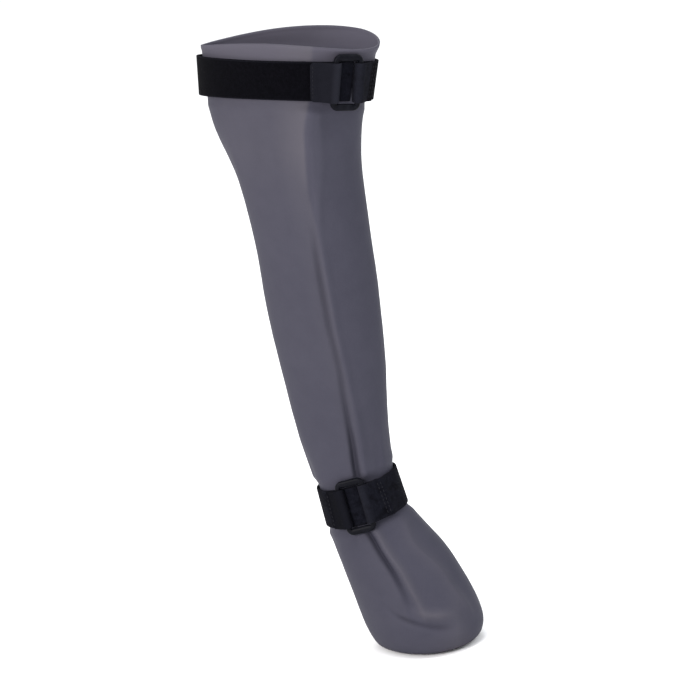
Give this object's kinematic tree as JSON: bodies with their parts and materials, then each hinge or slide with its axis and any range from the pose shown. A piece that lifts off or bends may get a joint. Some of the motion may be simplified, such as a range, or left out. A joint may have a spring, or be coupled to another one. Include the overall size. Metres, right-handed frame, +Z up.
{
  "type": "dog protective sock",
  "caption": "Tall one-piece silicone dog sock standing on its sole, with a hook-and-loop strap and slide buckle at the collar and at the ankle.",
  "frame": {"origin": "on the flat sole, under the middle of the leg", "axes": "+X towards the toe, +Z up the shaft, the buckles on the -Y side"},
  "size_m": [0.1356, 0.0828, 0.4219],
  "materials": {
    "silicone": "satin grey silicone rubber",
    "loop_webbing": "black brushed loop webbing",
    "hook_webbing": "charcoal woven back of hook tape",
    "buckle_plastic": "black moulded plastic"
  },
  "bodies": {
    "root": {"sock": "silicone", "collar_strap": "loop_webbing", "collar_tab": "hook_webbing", "collar_buckle": "buckle_plastic", "ankle_strap": "loop_webbing", "ankle_tab": "hook_webbing", "ankle_buckle": "buckle_plastic"}
  },
  "joints": []
}
